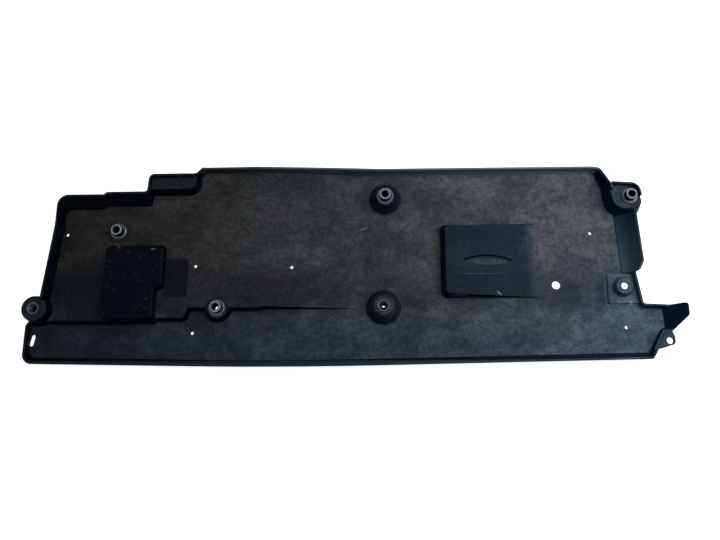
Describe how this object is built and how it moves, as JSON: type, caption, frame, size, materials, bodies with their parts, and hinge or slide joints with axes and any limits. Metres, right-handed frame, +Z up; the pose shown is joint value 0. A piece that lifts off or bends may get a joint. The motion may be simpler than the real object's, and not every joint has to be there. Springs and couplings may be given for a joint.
{
  "type": "underbody guard",
  "caption": "Moulded plastic underbody guard: a long shallow pan with turned-up rims, raised blocks, bolt bosses with metal sleeves, a lug and a wing.",
  "frame": {"origin": "under the middle of the overall box, on the surface that the guard lies on", "axes": "+X along the guard's length, away from the end with the bush in its corner; +Y across, towards the rim with the shelf; +Z up, towards the car"},
  "size_m": [1.0536, 0.3295, 0.0405],
  "materials": {
    "moulding": "black moulded plastic with a fine grain, dusty and worn on its wide floor",
    "sleeve_steel": "dull zinc plating",
    "bush_steel": "dull dark zinc plating"
  },
  "bodies": {
    "root": {"tray": "moulding", "sleeve_upper_left": "sleeve_steel", "sleeve_lower_left": "sleeve_steel", "sleeve_upper_middle": "sleeve_steel", "sleeve_upper_right": "sleeve_steel", "bush_lower_middle": "bush_steel", "bush_left_end": "bush_steel"}
  },
  "joints": []
}
